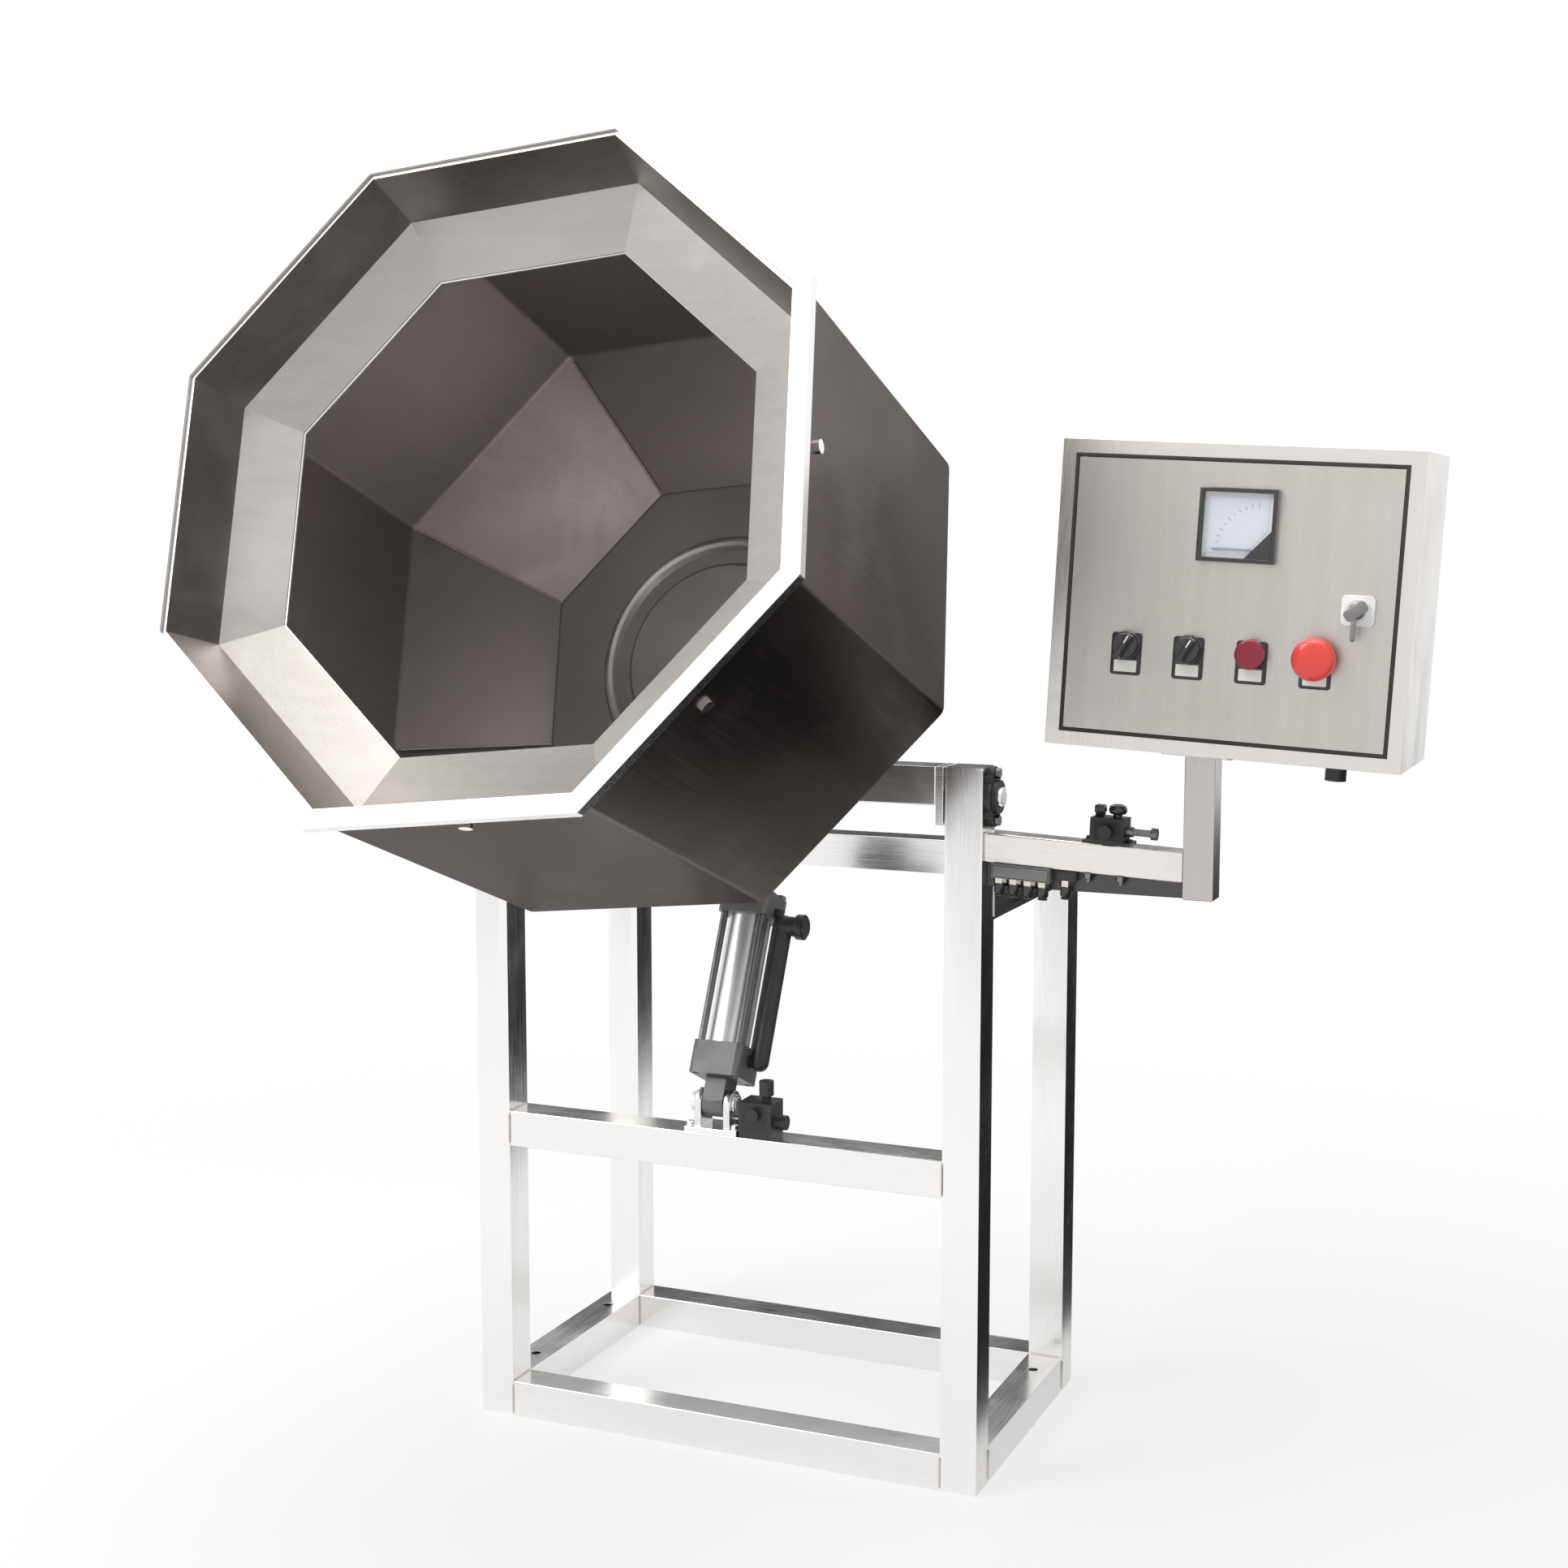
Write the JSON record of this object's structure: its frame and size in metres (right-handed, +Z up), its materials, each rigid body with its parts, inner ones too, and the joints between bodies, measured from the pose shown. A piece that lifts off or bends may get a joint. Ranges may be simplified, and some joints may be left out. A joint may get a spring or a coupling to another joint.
{
  "type": "seasoning drum mixer",
  "caption": "Tilting octagonal drum mixer: a stainless drum turns on a hub carried by a cradle that a tie-rod cylinder tips on a tube frame, with a control box on an arm.",
  "frame": {"origin": "on the floor under the underside of the front bottom rail, straight below the tilt axis and on the centre plane between the legs", "axes": "+Z up, -Y towards the side of the drum's mouth, +X to the right as seen from there, towards the control box"},
  "size_m": [1.0457, 0.9612, 1.3522],
  "materials": {
    "alloy": "anodised aluminium",
    "black_iron": "black enamelled cast iron",
    "black_plastic": "matt black plastic",
    "bright_steel": "machined and polished steel",
    "crimson_plastic": "crimson push button",
    "dark_steel": "dark steel",
    "drum_steel": "satin 304 stainless sheet",
    "grey_aluminium": "grey painted cast aluminium",
    "grey_iron": "grey painted cast iron",
    "legend_plastic": "pale legend plates",
    "red_plastic": "bright red mushroom button",
    "sheet_steel": "brushed stainless sheet",
    "tube_steel": "brushed 304 stainless tube, welded and polished",
    "white_plastic": "white printed card"
  },
  "bodies": {
    "frame": {"front_leg_left": "tube_steel", "front_leg_right": "tube_steel", "rear_leg_left": "tube_steel", "rear_leg_right": "tube_steel", "front_bottom_rail": "tube_steel", "rear_bottom_rail": "tube_steel", "side_bottom_rails": "tube_steel", "mid_crossbar": "tube_steel", "rear_top_rail": "tube_steel", "side_top_rails": "tube_steel", "tube_plugs": "black_plastic", "pivot_bearings": "black_iron", "pivot_bolts": "bright_steel", "foot_bracket": "sheet_steel", "foot_pin": "bright_steel", "flow_valve": "black_plastic", "control_arm": "sheet_steel", "arm_brace": "dark_steel", "control_post": "sheet_steel", "box_shell": "sheet_steel", "cable_gland": "black_plastic", "hand_valve": "grey_aluminium", "door_pins": "bright_steel"},
    "cradle": {"tilt_beam": "tube_steel", "tilt_stubs": "bright_steel", "cradle_plate": "sheet_steel", "cradle_gussets": "sheet_steel", "cylinder_lugs": "sheet_steel", "hub_housing": "grey_iron", "hub_bolts": "bright_steel", "gearbox": "grey_iron", "motor_body": "grey_aluminium", "motor_fan_cover": "black_plastic", "terminal_box": "grey_aluminium"},
    "drum": {"drum_shell": "drum_steel", "drum_bottom": "drum_steel", "drum_rim": "sheet_steel", "drum_collar": "sheet_steel", "collar_screws": "bright_steel", "drum_shaft": "bright_steel"},
    "actuator": {"cyl_barrel": "alloy", "cyl_caps": "alloy", "cyl_tie_rods": "bright_steel", "air_pipe": "black_plastic"},
    "actuator_rod": {"cyl_rod": "bright_steel", "rod_eye": "dark_steel", "rod_pin": "bright_steel"},
    "door": {"box_door": "sheet_steel", "meter_case": "black_plastic", "meter_face": "white_plastic", "legend_plates": "legend_plastic", "button_bezels": "black_plastic", "lock_plate": "alloy"},
    "needle": {"meter_needle": "dark_steel"},
    "left_selector": {"selector_left": "black_plastic"},
    "right_selector": {"selector_right": "black_plastic"},
    "start_button": {"push_button": "crimson_plastic"},
    "stop": {"stop_button": "red_plastic"},
    "key": {"lock_key": "dark_steel"},
    "air_lever": {"valve_lever": "dark_steel"}
  },
  "joints": [
    {"name": "tilt", "type": "hinge", "parent": "frame", "child": "cradle", "pos_m": [0, 0, 0.732], "axis": [1, 0, 0], "range_deg": [-5, 40]},
    {"name": "drum_spin", "type": "hinge", "parent": "cradle", "child": "drum", "pos_m": [0, -0.00258, 0.86401], "axis": [0, -0.9385, 0.3453], "continuous": true},
    {"name": "actuator_swing", "type": "hinge", "parent": "frame", "child": "actuator", "pos_m": [-0.008, 0, 0.384], "axis": [1, 0, 0], "range_deg": [-1, 5]},
    {"name": "rod_slide", "type": "slide", "parent": "actuator", "child": "actuator_rod", "axis": [0, 0.4258, 0.9048], "range_m": [-0.013, 0.1005]},
    {"name": "door_hinge", "type": "hinge", "parent": "frame", "child": "door", "pos_m": [0.4062, -0.076, 0.94014], "axis": [-0.0523, 0, -0.9986], "range_deg": [0, 95]},
    {"name": "needle_swing", "type": "hinge", "parent": "door", "child": "needle", "pos_m": [0.58053, -0.084, 0.98007], "axis": [0, 1, 0], "range_deg": [0, 85], "stiffness_Nm_per_rad": 0.0002},
    {"name": "left_selector_turn", "type": "hinge", "parent": "door", "child": "left_selector", "pos_m": [0.45672, -0.085, 0.89143], "axis": [0, 1, 0], "range_deg": [-60, 0]},
    {"name": "right_selector_turn", "type": "hinge", "parent": "door", "child": "right_selector", "pos_m": [0.51564, -0.085, 0.88834], "axis": [0, 1, 0], "range_deg": [-60, 0]},
    {"name": "start_press", "type": "slide", "parent": "door", "child": "start_button", "axis": [0, 1, 0], "range_m": [0, 0.003], "stiffness_N_per_m": 400, "springref_m": -0.002},
    {"name": "stop_press", "type": "slide", "parent": "door", "child": "stop", "axis": [0, 1, 0], "range_m": [0, 0.005]},
    {"name": "key_turn", "type": "hinge", "parent": "door", "child": "key", "pos_m": [0.66984, -0.085, 0.92632], "axis": [0, 1, 0], "range_deg": [-90, 0]},
    {"name": "air_lever_turn", "type": "hinge", "parent": "frame", "child": "air_lever", "pos_m": [0.42214, 0, 0.70412], "axis": [0.999, 0, -0.0454], "range_deg": [-90, 0]}
  ],
  "couplings": [
    {"joint": "actuator_swing", "follows": "tilt", "ratio": 0.101},
    {"joint": "rod_slide", "follows": "tilt", "m_per_rad": 0.1429}
  ]
}
